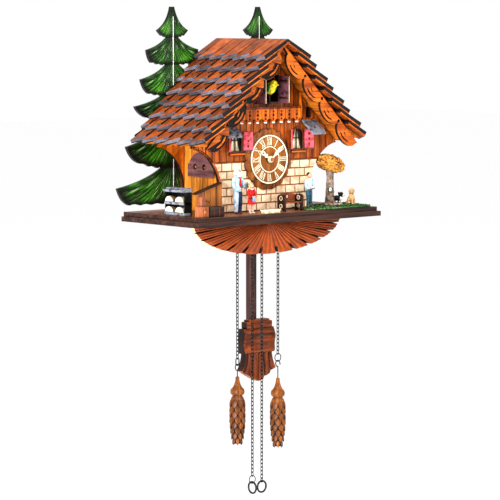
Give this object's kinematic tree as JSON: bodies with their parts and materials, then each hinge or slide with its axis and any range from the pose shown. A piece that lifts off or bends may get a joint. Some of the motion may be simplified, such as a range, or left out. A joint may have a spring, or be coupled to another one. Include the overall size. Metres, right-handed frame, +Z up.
{
  "type": "cuckoo clock",
  "caption": "Chalet wall clock with shingled gable roof, carved bargeboards, round dial, sliding bird behind two doors, pendulum, link chains and pine-cone weights.",
  "frame": {"origin": "centre of the hanging hole in the back panel, on the wall plane", "axes": "+X to the viewer's right, +Y back into the wall, +Z up; the dial faces -Y"},
  "size_m": [0.319, 0.147, 0.6053],
  "materials": {
    "base_lower": "dark stained wood",
    "base_upper": "dark stained wood",
    "skirt": "carved stained wood",
    "front_board": "orange stained plywood",
    "inner_board": "orange stained plywood",
    "side_walls": "orange stained plywood",
    "back_panel": "brown stained plywood",
    "roof_boards": "stained plywood",
    "shingles_left": "red-brown stained shingles",
    "shingles_right": "red-brown stained shingles",
    "bargeboards": "carved orange wood",
    "fir_trees": "green painted wood",
    "sound_plate": "plum stained wood",
    "brick_panel": "stained board",
    "bricks": "cream painted wood",
    "facade_planks": "orange stained planks",
    "window_frames": "red-brown wood",
    "window_panes": "pale printed card",
    "shutters": "pink painted wood",
    "balcony_floor": "brown wood",
    "balcony_rail": "orange brown wood",
    "window_awnings": "grey painted wood",
    "dial_body": "dark brown carved wood",
    "chapter_ring": "cream moulded plastic",
    "hour_hand": "cream moulded plastic",
    "minute_hand": "cream moulded plastic",
    "movement": "black moulded plastic",
    "lean_to": "brown stained wood",
    "fountain": "brown stained wood",
    "wood_stack": "dark wood with pale log ends",
    "old_man": "painted resin",
    "girl": "painted resin",
    "boy": "painted resin",
    "bench": "cream painted wood",
    "garden_table": "dark stained wood",
    "oak_trunk": "painted resin",
    "oak_foliage": "ochre moulded foliage",
    "meadow": "green moulded turf",
    "dogs": "painted resin",
    "sound_unit": "black moulded plastic",
    "loudspeaker": "black moulded plastic",
    "sound_switch": "pale moulded plastic",
    "cells": "printed metal jacket",
    "bird_shelf": "plain wood",
    "bird_carriage": "dark wood",
    "bird": "yellow painted resin",
    "bird_door_left": "dark wood",
    "bird_door_right": "dark wood",
    "pendulum_rod": "dark stained wood",
    "pendulum_bob": "carved red-brown wood",
    "chain_heads": "steel wire",
    "weight_chain_left": "steel wire",
    "weight_chain_right": "steel wire",
    "pull_chain_left": "steel wire",
    "pull_chain_right": "steel wire",
    "weight_hook_left": "steel wire",
    "weight_hook_right": "steel wire",
    "weight_left": "brown painted cast cone",
    "weight_right": "brown painted cast cone",
    "rear_door": "brown stained plywood"
  },
  "bodies": {
    "house": {"base_lower": "base_lower", "base_upper": "base_upper", "skirt": "skirt", "front_board": "front_board", "inner_board": "inner_board", "side_walls": "side_walls", "back_panel": "back_panel", "roof_boards": "roof_boards", "shingles_left": "shingles_left", "shingles_right": "shingles_right", "bargeboards": "bargeboards", "fir_trees": "fir_trees", "sound_plate": "sound_plate", "brick_panel": "brick_panel", "bricks": "bricks", "facade_planks": "facade_planks", "window_frames": "window_frames", "window_panes": "window_panes", "shutters": "shutters", "balcony_floor": "balcony_floor", "balcony_rail": "balcony_rail", "window_awnings": "window_awnings", "dial_body": "dial_body", "chapter_ring": "chapter_ring", "movement": "movement", "lean_to": "lean_to", "fountain": "fountain", "wood_stack": "wood_stack", "old_man": "old_man", "girl": "girl", "boy": "boy", "bench": "bench", "garden_table": "garden_table", "oak_trunk": "oak_trunk", "oak_foliage": "oak_foliage", "meadow": "meadow", "dogs": "dogs", "sound_unit": "sound_unit", "loudspeaker": "loudspeaker", "cells": "cells", "bird_shelf": "bird_shelf", "chain_heads": "chain_heads"},
    "hour": {"hour_hand": "hour_hand"},
    "minute": {"minute_hand": "minute_hand"},
    "pendulum": {"pendulum_rod": "pendulum_rod", "pendulum_bob": "pendulum_bob"},
    "bird_slider": {"bird_carriage": "bird_carriage", "bird": "bird"},
    "bird_leaf_left": {"bird_door_left": "bird_door_left"},
    "bird_leaf_right": {"bird_door_right": "bird_door_right"},
    "chain_weight_left": {"weight_chain_left": "weight_chain_left"},
    "chain_weight_right": {"weight_chain_right": "weight_chain_right"},
    "chain_pull_left": {"pull_chain_left": "pull_chain_left"},
    "chain_pull_right": {"pull_chain_right": "pull_chain_right"},
    "cone_left": {"weight_hook_left": "weight_hook_left", "weight_left": "weight_left"},
    "cone_right": {"weight_hook_right": "weight_hook_right", "weight_right": "weight_right"},
    "back_door": {"rear_door": "rear_door"},
    "switch": {"sound_switch": "sound_switch"}
  },
  "joints": [
    {"name": "minute_turn", "type": "hinge", "parent": "house", "child": "minute", "pos_m": [0, -0.105, -0.1012], "axis": [0, 1, 0], "continuous": true},
    {"name": "hour_turn", "type": "hinge", "parent": "house", "child": "hour", "pos_m": [0, -0.105, -0.1012], "axis": [0, 1, 0], "continuous": true},
    {"name": "pendulum_swing", "type": "hinge", "parent": "house", "child": "pendulum", "pos_m": [0, -0.073, -0.078], "axis": [0, 1, 0], "range_deg": [-3, 3]},
    {"name": "bird_slide", "type": "slide", "parent": "house", "child": "bird_slider", "axis": [0, 1, 0], "range_m": [0, 0.032]},
    {"name": "bird_door_left_turn", "type": "hinge", "parent": "house", "child": "bird_leaf_left", "pos_m": [-0.019, -0.1005, -0.016], "axis": [0, 0, 1], "range_deg": [0, 90]},
    {"name": "bird_door_right_turn", "type": "hinge", "parent": "house", "child": "bird_leaf_right", "pos_m": [0.019, -0.1005, -0.016], "axis": [0, 0, -1], "range_deg": [0, 90]},
    {"name": "chain_weight_left_swing", "type": "hinge", "parent": "house", "child": "chain_weight_left", "pos_m": [-0.044, -0.0945, -0.22046], "axis": [-1, 0, 0], "range_deg": [0, 15]},
    {"name": "chain_pull_left_swing", "type": "hinge", "parent": "house", "child": "chain_pull_left", "pos_m": [-0.0195, -0.0945, -0.22046], "axis": [-1, 0, 0], "range_deg": [0, 15]},
    {"name": "chain_pull_right_swing", "type": "hinge", "parent": "house", "child": "chain_pull_right", "pos_m": [-0.0038, -0.0945, -0.22046], "axis": [-1, 0, 0], "range_deg": [0, 15]},
    {"name": "chain_weight_right_swing", "type": "hinge", "parent": "house", "child": "chain_weight_right", "pos_m": [0.023, -0.0945, -0.22046], "axis": [-1, 0, 0], "range_deg": [0, 15]},
    {"name": "cone_left_swing", "type": "hinge", "parent": "chain_weight_left", "child": "cone_left", "pos_m": [-0.044, -0.0945, -0.35405], "axis": [-1, 0, 0], "range_deg": [0, 12]},
    {"name": "cone_right_swing", "type": "hinge", "parent": "chain_weight_right", "child": "cone_right", "pos_m": [0.023, -0.0945, -0.3551], "axis": [-1, 0, 0], "range_deg": [0, 12]},
    {"name": "back_door_turn", "type": "hinge", "parent": "house", "child": "back_door", "pos_m": [0.0392, -0.0019, -0.108], "axis": [0, 0, -1], "range_deg": [0, 110]},
    {"name": "switch_slide", "type": "slide", "parent": "house", "child": "switch", "axis": [1, 0, 0], "range_m": [-0.005, 0]}
  ],
  "couplings": [
    {"joint": "hour_turn", "follows": "minute_turn", "ratio": 0.083333},
    {"joint": "bird_door_left_turn", "follows": "bird_slide", "rad_per_m": 49.08},
    {"joint": "bird_door_right_turn", "follows": "bird_slide", "rad_per_m": 49.08}
  ]
}
